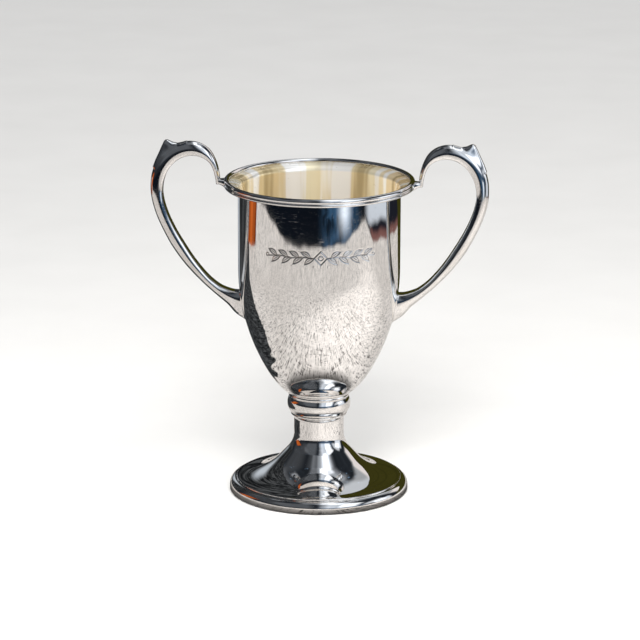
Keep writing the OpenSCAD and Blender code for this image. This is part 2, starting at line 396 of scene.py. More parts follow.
# ---------------- foot
NECK_R, FLARE_Z, FLARE_CURVE, FLARE_ANGLE = 10.6, 25.0, 10.4, 42.5
FLARE_STRAIGHT, SKIRT_CURVE, SKIRT_END = 5.4, 25.7, 267.0
FOOT_TOP_Z, PLATE_R = 33.0, 34.95
flare_c = np.array((NECK_R + FLARE_CURVE, FLARE_Z))
straight_start = flare_c - polar(FLARE_CURVE, FLARE_ANGLE)
straight_end = straight_start + FLARE_STRAIGHT * np.array(
    (math.sin(math.radians(FLARE_ANGLE)), -math.cos(math.radians(FLARE_ANGLE))))
skirt_c = straight_end + polar(SKIRT_CURVE, FLARE_ANGLE)
plate_z = skirt_c[1] + SKIRT_CURVE * math.sin(math.radians(SKIRT_END))
floor_z = plate_z - WALL


def foot_outline():
    """The whole way round the spun sheet: out along the underside, back over the top."""
    top = FOOT_TOP_Z - WALL
    out = Outline()
    out.add((2.3, top + 0.05), (-1, 0), 1)
    out.add((2.35, top), (0, -1), 1)
    out.add((8.9, top), (0, -1), 1)
    out.arc((8.9, top - 0.8), 0.8, 90, 0, 5, 1)
    out.arc(flare_c, FLARE_CURVE + WALL, 180, 180 + FLARE_ANGLE, 14, 1)
    out.arc(skirt_c, SKIRT_CURVE + WALL, 180 + FLARE_ANGLE, SKIRT_END, 22, 1)
    out.arc((PLATE_R - 0.12, floor_z + 0.12), 0.12, -90, 0, 3)
    out.arc((PLATE_R - 0.3, plate_z - 0.3), 0.3, 0, 87, 6)
    out.arc(skirt_c, SKIRT_CURVE, SKIRT_END, 180 + FLARE_ANGLE, 60)
    out.arc(flare_c, FLARE_CURVE, 180 + FLARE_ANGLE, 180, 24)
    out.line((NECK_R, 31.0), 6)
    smooth_chain([(NECK_R, 31.0), (NECK_R + 0.04, 31.6), (NECK_R + 0.2, 32.2), (11.05, 32.75),
                  (11.1, FOOT_TOP_Z)], 3, out)
    out.add((11.0, FOOT_TOP_Z), (0, 1))
    out.add((2.4, FOOT_TOP_Z), (0, 1))
    out.add((2.3, FOOT_TOP_Z - 0.1), (-1, 0))
    return out


OVOLO_Z, OVOLO_R, OVOLO_H, REST_INNER, MOULD_INNER = 1.9, 2.89, 3.2, 36.2, 33.4


def base_outline():
    """The ring under the plate: hollow inside, flat where the cup rests, a quarter-round outside."""
    out = Outline()
    out.add((MOULD_INNER, floor_z), (-1, 0))
    out.add((MOULD_INNER, 2.9), (-1, 0))
    out.arc((MOULD_INNER + 0.1, 2.9), 0.1, 180, 270, 3)
    out.arc((34.9, 1.5), 1.3, 90, 0, 8)
    out.arc((REST_INNER + 0.12, 0.12), 0.12, 180, 270, 3)
    out.arc((37.39, 0.45), 0.45, -90, 0, 7)
    steps = 26
    for i in range(steps + 1):
        t = math.pi / 2 * i / steps
        n = np.array((math.cos(t) / OVOLO_R, math.sin(t) / OVOLO_H))
        out.add((PLATE_R + OVOLO_R * math.cos(t), OVOLO_Z + OVOLO_H * math.sin(t)), n / np.linalg.norm(n))
    out.add((PLATE_R + 0.01, OVOLO_Z + OVOLO_H - 0.05), (-1, 0))
    out.add((PLATE_R + 0.01, floor_z), (-1, 0))
    return out


# ---------------- handles
# Stations along the middle of a handle: distance from the axis, height, thickness, width
STATIONS = [
    (42.25, 132.6, 1.8, 4.0), (42.5, 135, 1.9, 4.4), (43.2, 138.5, 2.2, 5.0), (44.6, 142, 2.8, 5.6),
    (47.3, 145.1, 4.4, 6.0), (50.8, 146.8, 5.5, 6.0), (54.6, 147.1, 6.0, 6.0), (58.6, 146, 6.1, 6.0),
    (62.3, 143.6, 6.1, 6.0), (65.2, 140.2, 6.0, 6.0), (67.2, 136, 5.8, 6.0), (68.1, 131, 5.3, 6.0),
    (67.8, 125.5, 5.0, 6.0), (66, 119, 4.9, 6.0), (62.9, 112, 4.9, 6.0), (59.2, 105.4, 5.0, 6.0),
    (54.1, 98, 4.5, 6.0), (48.2, 91.3, 3.9, 6.0), (43.6, 87.2, 4.1, 6.2), (40.4, 85, 5.0, 6.6),
    (36.8, 83, 6.9, 7.4), (33, 81.2, 10.8, 8.2), (29.5, 80, 13, 8.4), (26, 78.8, 15.2, 8.6)]
SPAN = 14                    # rings between two stations
INNER_SHARE = 0.4            # where the widest point lies, as a share of the thickness from the inner face
# Outer edge of the thumb-piece: distance from the axis, height
THUMB = [(55.6, 150.2), (57.6, 149.55), (59.4, 149.2), (61.2, 149.55), (62.8, 150.3), (64.0, 150.68),
         (64.9, 150.0), (65.9, 147.9), (67.1, 145.2), (68.6, 142.0), (69.9, 138.6)]
THUMB_REACH = 12             # the thumb-piece's edge lies nearer than this to the middle of the handle
CREST_HALF_W, CREST_SLOPE = 2.25, 1.45
HANDLE_WAVE = 0.02
FILLET = 0.55                # how far the solder runs up the handle and along the bowl


def handle_section():
    """(outwards, across) pairs for thickness 1 and width 1: an oval cut flat on the inner side."""
    reach = 1 - INNER_SHARE
    edge = math.asin(-INNER_SHARE / reach) + 0.16
    corner_w = 0.5 * math.sqrt(1 - (INNER_SHARE / reach) ** 2)
    half = [(-INNER_SHARE, w) for w in (0.0, 0.1, 0.2, 0.27)]
    start = np.array((-INNER_SHARE, corner_w - 0.055))
    end = np.array((reach * math.sin(edge), 0.5 * math.cos(edge)))
    knee = np.array((-INNER_SHARE, corner_w + 0.02))
    for i in range(7):
        t = i / 6
        half.append(tuple((1 - t) ** 2 * start + 2 * t * (1 - t) * knee + t * t * end))
    for i in range(1, 25):
        g = edge + (math.pi / 2 - edge) * i / 24
        half.append((reach * math.sin(g), 0.5 * math.cos(g)))
    other = [(a, -b) for a, b in half[1:-1]][::-1]
    return np.array(half + other)


def thumb_height(path, across):
    """How far the thumb-piece stands out from the plain handle along each ring's normal."""
    edge = np.array(THUMB)
    height = np.zeros(len(path))
    for i, (p, n) in enumerate(zip(path, across)):
        base = p[2] * 0.5
        for a, b in zip(edge[:-1], edge[1:]):
            m = np.array([n, a - b]).T
            if abs(np.linalg.det(m)) < 1e-9:
                continue
            far, t = np.linalg.solve(m, a - p[:2])
            if -0.001 <= t <= 1.001 and 0 < far < THUMB_REACH:
                height[i] = max(height[i], far - base)
    return np.maximum(height, 0)


def grid_object(name, grid, materials, caps=True):
    """Mesh from a (rings, round, 3) grid in mm, closed round the second way, with smooth normals."""
    rings, cols, _ = grid.shape
    du = np.gradient(grid, axis=0)
    wide = np.concatenate([grid[:, -1:], grid, grid[:, :1]], axis=1)
    step = np.linalg.norm(np.diff(wide, axis=1), axis=-1, keepdims=True)
    step = np.maximum(step, 1e-5)
    unit = np.diff(wide, axis=1) / step
    back, fore = step[:, :-1], step[:, 1:]
    dv = (unit[:, :-1] * fore + unit[:, 1:] * back) / (back + fore)
    normal = np.cross(dv, du)
    normal = normal / np.maximum(np.linalg.norm(normal, axis=-1, keepdims=True), 1e-9)
    verts = grid.reshape(-1, 3)
    normals = normal.reshape(-1, 3)
    faces = grid_faces(rings, cols)
    if caps:
        for ring, order in ((0, 1), (rings - 1, -1)):
            centre = grid[ring].mean(axis=0)
            verts = np.vstack([verts, centre])
            away = centre - grid[1 if ring == 0 else -2].mean(axis=0)
            normals = np.vstack([normals, away / max(np.linalg.norm(away), 1e-9)])
            mid = len(verts) - 1
            for j in range(cols):
                a, b = ring * cols + j, ring * cols + (j + 1) % cols
                faces.append((a, b, mid) if order > 0 else (b, a, mid))
    corner = verts[np.array([f[:3] for f in faces])]
    if np.einsum("ij,ij->i", corner[:, 0], np.cross(corner[:, 1], corner[:, 2])).sum() < 0:
        faces = [f[::-1] for f in faces]
    # turn each normal to the side that the faces look to
    facing = np.zeros_like(verts)
    for f in faces:
        a, b, c = verts[f[0]], verts[f[1]], verts[f[2]]
        facing[list(f)] += np.cross(b - a, c - a)
    normals = np.where((facing * normals).sum(axis=1, keepdims=True) < 0, -normals, normals)
    return object_from(name, verts * MM, faces, normals, materials)


bowl_shape = bowl_outline()
side_line = np.array([p for p, part in zip(bowl_shape.points, bowl_shape.parts)
                      if part == 0 and 45 < p[1] < SIDE_TOP_Z])


def bowl_radius(z):
    """Outer radius of the bowl's side in mm at heights z."""
    return np.interp(z, side_line[:, 1], side_line[:, 0])


def build_handle(name, side, material):
    path = spline(STATIONS, SPAN)[0]
    run = np.gradient(path[:, :2], axis=0)
    run /= np.linalg.norm(run, axis=1, keepdims=True)
    across = np.stack([-run[:, 1], run[:, 0]], axis=1)
    section = handle_section()
    thumb = thumb_height(path, across)
    wave = wobble(11 if side > 0 else 12, HANDLE_WAVE, 3, 0.2)
    rings = []
    for i, (p, n) in enumerate(zip(path, across)):
        t, w = p[2], p[3]
        a = section[:, 0] * t + (INNER_SHARE - 0.5) * t
        b = section[:, 1] * w
        crest = np.clip((CREST_HALF_W - np.abs(b)) / CREST_SLOPE, 0, 1)
        crest = crest * crest * (3 - 2 * crest)
        front = np.clip((a + 0.05 * t) / (0.3 * t), 0, 1)
        a = a + thumb[i] * crest * front + wave(b * 0.3, np.full_like(b, i * 0.12)) - HANDLE_WAVE
        rings.append(np.stack([p[0] + n[0] * a, b, p[1] + n[1] * a], axis=-1))
    grid = np.array(rings)
    # rounded tip at the rim end
    tip = []
    first, centre = grid[0], grid[0].mean(axis=0)
    back = -np.array((run[0][0], 0, run[0][1])) * 0.75
    for k in range(6, 0, -1):
        g = math.pi / 2 * k / 6.35
        tip.append(centre + (first - centre) * math.cos(g) + back * math.sin(g))
    grid = np.concatenate([np.array(tip), grid])
    grid = seat_on_bowl(grid)
    if side < 0:
        grid = grid[:, ::-1] * (-1, 1, 1)
    return grid_object(name, grid, [material])


def seat_on_bowl(grid):
    """Ends every line of the handle in the bowl's wall, with a small fillet of solder."""
    start = len(grid) - 8 * SPAN
    body, tail = grid[:start], grid[start:]
    lines, feet, joints = [], [], []
    dense = spline(tail.reshape(len(tail), -1), 3)[0].reshape(-1, *tail.shape[1:])
    radius = np.hypot(dense[..., 0], dense[..., 1])
    gap = radius - bowl_radius(dense[..., 2])
    for j in range(grid.shape[1]):
        line = dense[:, j]
        hit = np.nonzero(gap[:, j] < 0)[0][0]
        t = gap[hit - 1, j] / (gap[hit - 1, j] - gap[hit, j])
        joint = line[hit - 1] + (line[hit] - line[hit - 1]) * t
        length = np.r_[0, np.cumsum(np.linalg.norm(np.diff(line[:hit], axis=0), axis=1))]
        total = length[-1] + np.linalg.norm(joint - line[hit - 1])
        s = np.linspace(0, total - FILLET, len(tail))
        full = np.vstack([line[:hit], joint])
        length = np.r_[length, total]
        lines.append(np.stack([np.interp(s, length, full[:, c]) for c in range(3)], axis=-1))
        joints.append(joint)
    joints = np.array(joints)
    middle = joints.mean(axis=0)
    grid_tail = np.array(lines).transpose(1, 0, 2)
    end = grid_tail[-1]
    for j, joint in enumerate(joints):
        angle = math.atan2(joint[1], joint[0])
        up = np.array((0, 0, 1.0))
        side = np.array((-math.sin(angle), math.cos(angle), 0))
        ahead, behind = joints[(j + 1) % len(joints)], joints[j - 1]
        along = ahead - behind
        out = np.array((along @ up, -(along @ side)))
        out /= max(np.linalg.norm(out), 1e-9)
        push = side * out[0] + up * out[1]
        if push @ (joint - middle) < 0:
            push = -push
        foot = joint + push * FILLET
        r = bowl_radius(foot[2])
        angle = math.atan2(foot[1], foot[0])
        feet.append((r * math.cos(angle), r * math.sin(angle), foot[2]))
    feet = np.array(feet)
    rows = []
    for k in range(1, 7):
        t = k / 6
        rows.append((1 - t) ** 2 * end + 2 * t * (1 - t) * joints + t * t * feet)
    shrink = 1 - 0.12 / np.hypot(feet[:, 0], feet[:, 1])
    rows.append(feet * np.stack([shrink, shrink, np.ones_like(shrink)], axis=-1))
    return np.concatenate([body, grid_tail, np.array(rows)])


def build_lug(name, side, material):
    """Small rounded block between the rim and the upper end of a handle, flared where it meets the rim."""
    # distance from the axis, scale of the section there
    ends = [(38.9, 1.0), (39.3, 1.62), (39.7, 1.5), (40.2, 1.32), (40.8, 1.16), (41.4, 1.04), (41.9, 0.97),
            (42.2, 0.9), (42.4, 0.75), (42.48, 0.5)]
    middle_z, half_w, half_h = 133.05, 2.1, 1.1
    ring = []
    for g in even_angles(32):
        c, d = math.cos(g), math.sin(g)
        ring.append((math.copysign(abs(c) ** 0.45, c) * half_w, math.copysign(abs(d) ** 0.55, d) * half_h))
    grid = np.array([[(side * r, y * k, middle_z + (1 - k) * 0.9 + z * k) for y, z in ring] for r, k in ends])
    return grid_object(name, grid, [material])


# ---------------- hidden fastening
STUD_R, STUD_LOW, STUD_HIGH, PITCH = 2.0, 25.4, 38.4, 0.7
THREAD_TOP, THREAD_DEPTH = 31.0, 0.4
NUT_LOW, NUT_HIGH, NUT_HALF_FLATS = 26.9, 30.1, 3.5
WASHER_HIGH, WASHER_INNER, WASHER_OUTER = 31.0, 2.35, 3.9


def build_stud(material):
    """Threaded rod: a single-start thread on its lower end, plain above."""
    plain = THREAD_TOP + 0.2
    heights = np.concatenate([np.arange(STUD_LOW, plain, 0.07), np.linspace(plain, STUD_HIGH, 12)])
    turn = np.linspace(0, TAU, 49)[:-1]
    z, a = np.meshgrid(heights, turn, indexing="ij")
    phase = (z / PITCH - a / TAU) % 1.0
    depth = THREAD_DEPTH * np.clip(1 - np.abs(phase - 0.5) / 0.36, 0, 1)
    r = STUD_R - depth * np.clip((THREAD_TOP - z) / 0.5, 0, 1)
    r = np.minimum(r, STUD_R - 0.55 + (z - STUD_LOW) * 1.2)
    r = np.minimum(r, STUD_R - 0.3 + (STUD_HIGH - z) * 1.2)
    return grid_object("stud_threaded", np.stack([r * np.cos(a), r * np.sin(a), z], axis=-1), [material])


def build_nut(material):
    """Hexagon nut with both faces chamfered and a countersunk hole."""
    turn = np.linspace(0, TAU, 97)[:-1]
    wedge = (turn + math.pi / 6) % (math.pi / 3) - math.pi / 6
    hexagon = NUT_HALF_FLATS / np.cos(wedge)
    steps = (0, 0.06, 0.14, 0.24, 0.36, 0.5)
    rows = []
    for z in [NUT_LOW + step for step in steps] + [NUT_HIGH - step for step in steps[::-1]]:
        cone = NUT_HALF_FLATS * 0.95 + min(z - NUT_LOW, NUT_HIGH - z) / math.tan(math.radians(30))
        rows.append((np.minimum(hexagon, cone), z))
    mouth, sink = STUD_R + 0.45, 0.4
    for r, z in ((mouth, NUT_HIGH), (STUD_R, NUT_HIGH - sink), (STUD_R, NUT_LOW + sink), (mouth, NUT_LOW)):
        rows.append((np.full_like(turn, r), z))
    rows.append(rows[0])
    grid = np.array([[(r * math.cos(a), r * math.sin(a), z) for r, a in zip(row, turn)] for row, z in rows])
    ob = grid_object("nut_chamfered", grid, [material], caps=False)
    merge_ends(ob)
    return ob


def merge_ends(ob):
    """Joins the last ring of a mesh to its first, and keeps the mesh's edges sharp."""
    bm = bmesh.new()
    bm.from_mesh(ob.data)
    bmesh.ops.remove_doubles(bm, verts=bm.verts, dist=1e-7)
    bm.to_mesh(ob.data)
    bm.free()
    ob.data.set_sharp_from_angle(angle=math.radians(28))


def build_lock_washer(material):
    """Split spring washer: a squared ring cut through on a slant, its ends sprung a little apart."""
    gap, slant, edge = math.radians(7), 0.16, 0.1
    low, high = NUT_HIGH, WASHER_HIGH
    section = rounded([(WASHER_INNER, low, edge), (WASHER_OUTER, low, edge), (WASHER_OUTER, high, edge),
                       (WASHER_INNER, high, edge)], 3).points
    rows = []
    for turn in np.linspace(gap, TAU - gap, 90):
        angles = [turn + slant * (z - low) for _, z in section]
        rows.append([(r * math.cos(a), r * math.sin(a), z) for (r, z), a in zip(section, angles)])
    return grid_object("washer_split", np.array(rows), [material])


def build_dished_washer(material):
    """Pressed cup washer, thinner towards its turned-down edge."""
    out = Outline()
    for r, z, n in ((2.3, 31.15, (-1, 0)), (2.45, WASHER_HIGH, (0, -1)), (5.6, WASHER_HIGH, (0, -1)),
                    (6.4, 31.06, (0.15, -1)), (7.4, 31.3, (0.3, -1)), (8.1, 31.55, (0.4, -0.9)),
                    (8.36, 31.72, (0.9, -0.4)), (8.4, 31.9, (1, 0)), (8.3, 32.08, (0.6, 0.8)),
                    (8.1, 32.1, (0, 1)), (2.45, 32.1, (0, 1)), (2.3, 31.95, (-1, 0))):
        out.add((r, z), np.array(n) / np.linalg.norm(n))
    return lathe("washer_dished", out, [material], even_angles(96))


# ---------------- materials
class Net:
    """A material and short names for the nodes that feed it."""

    def __init__(self, name):
        self.material = bpy.data.materials.new(name)
        self.material.use_nodes = True
        self.tree = self.material.node_tree
        self.tree.nodes.clear()
        self.out = self.tree.nodes.new("ShaderNodeOutputMaterial")

    def node(self, kind, inputs=(), **settings):
        made = self.tree.nodes.new(kind)
        for key, value in settings.items():
            setattr(made, key, value)
        for key, value in dict(inputs).items():
            self.feed(made.inputs[key], value)
        return made

    def feed(self, socket, value):
        if isinstance(value, bpy.types.NodeSocket):
            self.tree.links.new(value, socket)
        else:
            socket.default_value = (*value, 1.0) if socket.type == "RGBA" else value

    def math(self, kind, a, b=0.0):
        return self.node("ShaderNodeMath", {0: a, 1: b}, operation=kind).outputs[0]

    def plus(self, a, b):
        return self.math("ADD", a, b)

    def minus(self, a, b):
        return self.math("SUBTRACT", a, b)

    def times(self, a, b):
        return self.math("MULTIPLY", a, b)

    def vmath(self, kind, a, b=(0, 0, 0), out=0):
        return self.node("ShaderNodeVectorMath", {0: a, 1: b}, operation=kind).outputs[out]

    def scaled(self, vector, factor):
        return self.node("ShaderNodeVectorMath", {0: vector, "Scale": factor}, operation="SCALE").outputs[0]

    def smooth(self, value, low, high):
        """0 at low, 1 at high, and an S between them."""
        ends = {0: value, 1: low, 2: high}
        return self.node("ShaderNodeMapRange", ends, interpolation_type="SMOOTHSTEP").outputs[0]

    def between(self, value, low, high, soft):
        """1 from low to high and 0 outside, with soft ends."""
        rise, fall = self.smooth(value, low - soft, low + soft), self.smooth(value, high + soft, high - soft)
        return self.times(rise, fall)

    def lerp(self, factor, a, b):
        return self.node("ShaderNodeMapRange", {0: factor, 3: a, 4: b}).outputs[0]

    def blend(self, factor, a, b, share=1.0):
        """Colour a, with as much of b as the factor says, up to the share."""
        factor = factor if share == 1.0 else self.times(factor, share)
        return self.node("ShaderNodeMix", {0: factor, 6: a, 7: b}, data_type="RGBA").outputs[2]

    def noise(self, vector, scale, detail=3.0, rough=0.5, warp=0.0):
        inputs = {"Vector": vector, "Scale": scale, "Detail": detail, "Roughness": rough, "Distortion": warp}
        return self.node("ShaderNodeTexNoise", inputs).outputs[0]

    def streaks(self, vector, stretch, detail=2.0, rough=0.6, warp=0.0, angles=(0, 0, 0)):
        """Noise drawn out along the axes that stretch makes small."""
        return self.noise(self.turned(vector, angles, stretch), 1.0, detail, rough, warp)

    def metres(self):
        return self.node("ShaderNodeTexCoord").outputs["Object"]

    def mm(self):
        return self.scaled(self.metres(), 1000.0)

    def axes(self, vector):
        return self.node("ShaderNodeSeparateXYZ", {0: vector}).outputs

    def join(self, x, y, z):
        return self.node("ShaderNodeCombineXYZ", {0: x, 1: y, 2: z}).outputs[0]

    def turned(self, vector, angles, stretch):
        inputs = {"Vector": vector, "Rotation": angles, "Scale": stretch}
        return self.node("ShaderNodeMapping", inputs).outputs[0]

    def bearing(self, x, y):
        """Degrees round the axis to the right of the way to the camera."""
        return self.times(self.math("ARCTAN2", x, self.times(y, -1.0)), 180 / math.pi)

    def swing(self, noise, size):
        """Noise about a half, turned to a swing about nothing."""
        return self.times(self.minus(noise, 0.5), size)

    def metallic(self, colour, metallic, roughness, height, depth):
        bump = self.node("ShaderNodeBump", {"Height": height, "Strength": 1.0, "Distance": depth}).outputs[0]
        return self.surface("ShaderNodeBsdfPrincipled", {"Base Color": colour, "Metallic": metallic,
                                                         "Roughness": roughness, "Normal": bump})

    def surface(self, kind, inputs):
        """Ends the net in a shader and gives the material."""
        self.tree.links.new(self.node(kind, inputs).outputs[0], self.out.inputs[0])
        return self.material


ROUND, HAND = (0.03, 0.03, 4.2), (1.3, 1.3, 1.3)     # polishing lines: round the axis, in no direction
TARNISH = (0.16, 0.13, 0.10)


def metal(name, bright, dull, rough, haze, lines, line_um, scratch, groove=False):
    """Polished metal: cloudy tone, polishing lines, hairline scratches and tarnish in the cuts."""
    net = Net(name)
    p = net.mm()
    cloud = net.noise(p, 0.045, 4, 0.55, 0.6)
    spots = net.smooth(net.noise(p, 0.32, 5, 0.62), 0.60, 0.74)
    polish = net.streaks(p, lines, 4, angles=(0, 0, 0) if lines == ROUND else (0.3, 0.4, 0.2))
    hair = None
    for angles, threshold in (((0.3, 0.25, 0.5), 0.635), ((-0.5, 0.9, 1.4), 0.64), ((1.1, -0.4, 2.3), 0.645)):
        one = net.smooth(net.streaks(p, (0.05, 1.9, 1.9), 2, 0.5, 0.2, angles), threshold, threshold + 0.05)
        hair = one if hair is None else net.math("MAXIMUM", hair, one)
    patchy = net.smooth(net.noise(p, 0.09, 2, 0.5), 0.42, 0.62)
    hair = net.times(hair, patchy)
    tone = net.smooth(cloud, 0.30, 0.70)
    colour = net.blend(tone, dull, bright)
    colour = net.blend(spots, colour, tuple(0.62 * c for c in dull), 0.22)
    roughness = net.lerp(net.smooth(cloud, 0.72, 0.28), rough, rough + haze)
    roughness = net.plus(roughness, net.times(hair, 0.16 * scratch))
    roughness = net.plus(roughness, net.swing(polish, haze * 0.8))
    if groove:
        depth = net.node("ShaderNodeAttribute", attribute_name="groove").outputs["Fac"]
        deep = net.smooth(depth, 0.15, 1.0)
        colour = net.blend(deep, colour, TARNISH, 0.72)
        roughness = net.plus(roughness, net.times(deep, 0.22))
    height = net.plus(polish, net.times(hair, -0.9 * scratch))
    pits = net.smooth(net.noise(p, 1.7, 2, 0.5), 0.70, 0.78)
    height = net.plus(height, net.times(pits, -0.8 * scratch))
    return net.metallic(colour, 1.0, roughness, height, line_um * 1e-6)


BRIGHT = (0.96, 0.95, 0.935)
silver_body = metal("silver_polished", BRIGHT, (0.89, 0.875, 0.855), 0.012, 0.035, ROUND, 0.35, 0.5, True)
silver_moulding = metal("silver_moulding", BRIGHT, (0.86, 0.84, 0.81), 0.02, 0.04, ROUND, 0.4, 0.5)
silver_cast = metal("silver_cast", (0.95, 0.94, 0.925), (0.85, 0.83, 0.80), 0.055, 0.07, HAND, 1.6, 0.7)
silver_under = metal("silver_unpolished", (0.80, 0.78, 0.74), (0.60, 0.57, 0.52), 0.20, 0.16, ROUND, 5.0, 0.8)
brass = metal("brass_turned", (0.80, 0.62, 0.30), (0.58, 0.42, 0.19), 0.18, 0.18, ROUND, 5.0, 0.8)
steel = metal("steel_plated", (0.66, 0.66, 0.65), (0.45, 0.44, 0.42), 0.22, 0.18, HAND, 4.0, 0.8)


def gilt():
    """Thin gilding: warm in tone, with painted reflections in upright silvery and dark streaks, a painted
    orange-gold reflection to one side, painted shade on the lip, and dark specks.
    """
    net = Net("gilt_inner")
    p = net.mm()
    x, y, z = net.axes(p)
    angle = net.math("ARCTAN2", y, x)
    rise = net.times(z, 0.012)
    # painted reflections: noise round the inner wall, drawn out upright, that places the near-white and dark
    # streaks
    reflected_streaks = net.noise(net.join(net.times(angle, 6.5), rise, 0.0), 1.0, 2, 0.45)
    stripe = net.math("SINE", net.plus(net.times(angle, 10.0), 0.87))
    reflected_streaks = net.plus(net.plus(net.times(reflected_streaks, 0.6), 0.2), net.times(stripe, 0.065))
    tint = net.noise(net.join(net.times(angle, 2.2), rise, 7.0), 1.0, 2, 0.5)
    lines = net.streaks(p, (0.03, 0.03, 3.2), 4)
    cloud = net.noise(p, 0.16, 4, 0.6)
    speck = net.smooth(net.noise(p, 0.55, 3, 0.6), 0.725, 0.75)
    colour = net.blend(net.smooth(tint, 0.38, 0.62), (0.80, 0.66, 0.40), (0.90, 0.82, 0.60))
    # painted reflection: an orange-gold cast on the +x side of the inner wall
    colour = net.blend(net.times(net.smooth(x, 18, 34), 0.6), colour, (0.86, 0.60, 0.32))
    # painted highlights in near-white streaks, then painted dark reflections in darker streaks
    colour = net.blend(net.smooth(reflected_streaks, 0.51, 0.60), colour, (1.0, 0.995, 0.97))
    colour = net.blend(net.times(net.smooth(reflected_streaks, 0.47, 0.36), 0.9), colour, (0.47, 0.37, 0.20))
    # painted shade: the lip's colour is darkened so that it looks no brighter than the wall below
    lip = net.smooth(z, SIDE_TOP_Z - 0.1, SIDE_TOP_Z + 1.1)
    colour = net.scaled(colour, net.lerp(lip, 1.0, 0.78))
    colour = net.blend(speck, colour, (0.20, 0.14, 0.07), 0.8)
    roughness = net.plus(net.lerp(cloud, 0.13, 0.21), net.swing(lines, 0.08))
    height = net.plus(lines, net.times(speck, -1.0))
    return net.metallic(colour, 0.62, roughness, height, 2e-6)


gilt_inner = gilt()


# ---------------- the object's pieces
def place(piece, slot, *nodes):
    """Fixes a piece to the body, in the place of the CAD nodes that it stands for, if any."""
    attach(piece, "root")
    if nodes:
        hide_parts(*nodes)


def ring(name, node, outline, steps, seed, wave):
    piece = lathe(name, outline, [silver_moulding], even_angles(steps), ring_relief(seed, wave))
    place(piece, "silver_moulding", node)


place(build_bowl(silver_body, gilt_inner), "silver_body", "bowl")
ring("rim_roll_ring", "rim_roll", roll_outline(), 360, 21, 0.02)
ring("rim_bead_ring", "rim_bead", bead_outline(), 360, 22, 0.02)
ring("collar_turned", "collar", collar_outline(), 240, 23, 0.02)
ring("neck_bead_ring", "neck_bead", neck_bead_outline(), 200, 24, 0.015)
foot_metals, foot_wave = [silver_body, silver_under], ring_relief(25, 0.03, 6)
place(lathe("foot_spun", foot_outline(), foot_metals, even_angles(360), foot_wave), "silver_body", "foot")
ring("base_ring", "base_moulding", base_outline(), 360, 26, 0.02)
for side, node in ((-1, "handle_left"), (1, "handle_right")):
    place(build_handle(node + "_cast", side, silver_cast), "silver_cast", node)
    place(build_lug(node + "_lug", side, silver_cast), "silver_cast")
place(build_stud(brass), "brass_hardware", "tie_stud")
place(build_nut(brass), "brass_hardware", "hex_nut")
place(build_dished_washer(brass), "brass_hardware", "dished_washer")
place(build_lock_washer(steel), "plated_hardware", "lock_washer")
boss_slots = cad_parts["bowl_boss"].data.materials
boss_slots.clear()
boss_slots.append(brass)


# ---------------- camera
TILT, YAW, LEAN = math.radians(15.26), math.radians(3.5), math.radians(0.14)
DISTANCE, TARGET_X, TARGET_Z, LENS = 1.463, 0.0004, 0.0738, 195.3
turn = Matrix.Rotation(YAW, 3, "Z")
place_at = Vector((TARGET_X, -DISTANCE * math.cos(TILT), TARGET_Z + DISTANCE * math.sin(TILT)))
forward = Vector((0, math.cos(TILT), -math.sin(TILT)))
right = Vector((1, 0, 0))
up = right.cross(forward)
c, s = math.cos(LEAN), math.sin(LEAN)
right, up = right * c + up * s, up * c - right * s
camera_data = bpy.data.cameras.new("camera")
camera_data.lens, camera_data.sensor_width = LENS, 36.0
camera = bpy.data.objects.new("camera", camera_data)
bpy.context.collection.objects.link(camera)
axes = Matrix((turn @ right, turn @ up, turn @ -forward)).transposed()
camera.matrix_world = Matrix.Translation(turn @ place_at) @ axes.to_4x4()
bpy.context.scene.camera = camera


# ---------------- stage
# Cards seen only in the metal, in a frame turned with the camera: x to the right, y away, z up.
def stage_mesh(name, verts, faces, material, only_gloss=True):
    """A thing beside the object that only the metal's gloss sees, or that everything but gloss sees."""
    mesh = bpy.data.meshes.new(name)
    mesh.from_pydata(verts, [], faces)
    mesh.materials.append(material)
    ob = bpy.data.objects.new(name, mesh)
    bpy.context.collection.objects.link(ob)
    if only_gloss:
        ob.rotation_euler[2] = YAW
        ob.visible_camera = ob.visible_diffuse = ob.visible_shadow = ob.visible_transmission = False
        ob.visible_volume_scatter = False
    else:
        ob.visible_glossy = False


def glow(net, colour):
    return net.surface("ShaderNodeEmission", {"Color": colour, "Strength": 1.0})


def square(half, z):
    return [(-half, -half, z), (half, -half, z), (half, half, z), (-half, half, z)], [(0, 1, 2, 3)]


def screen(line, top):
    """Upright screen over a line of (x, y) points, from the floor up."""
    verts = [(x, y, z) for x, y in line for z in (0.0, top)]
    return verts, [(2 * i, 2 * i + 2, 2 * i + 3, 2 * i + 1) for i in range(len(line) - 1)]


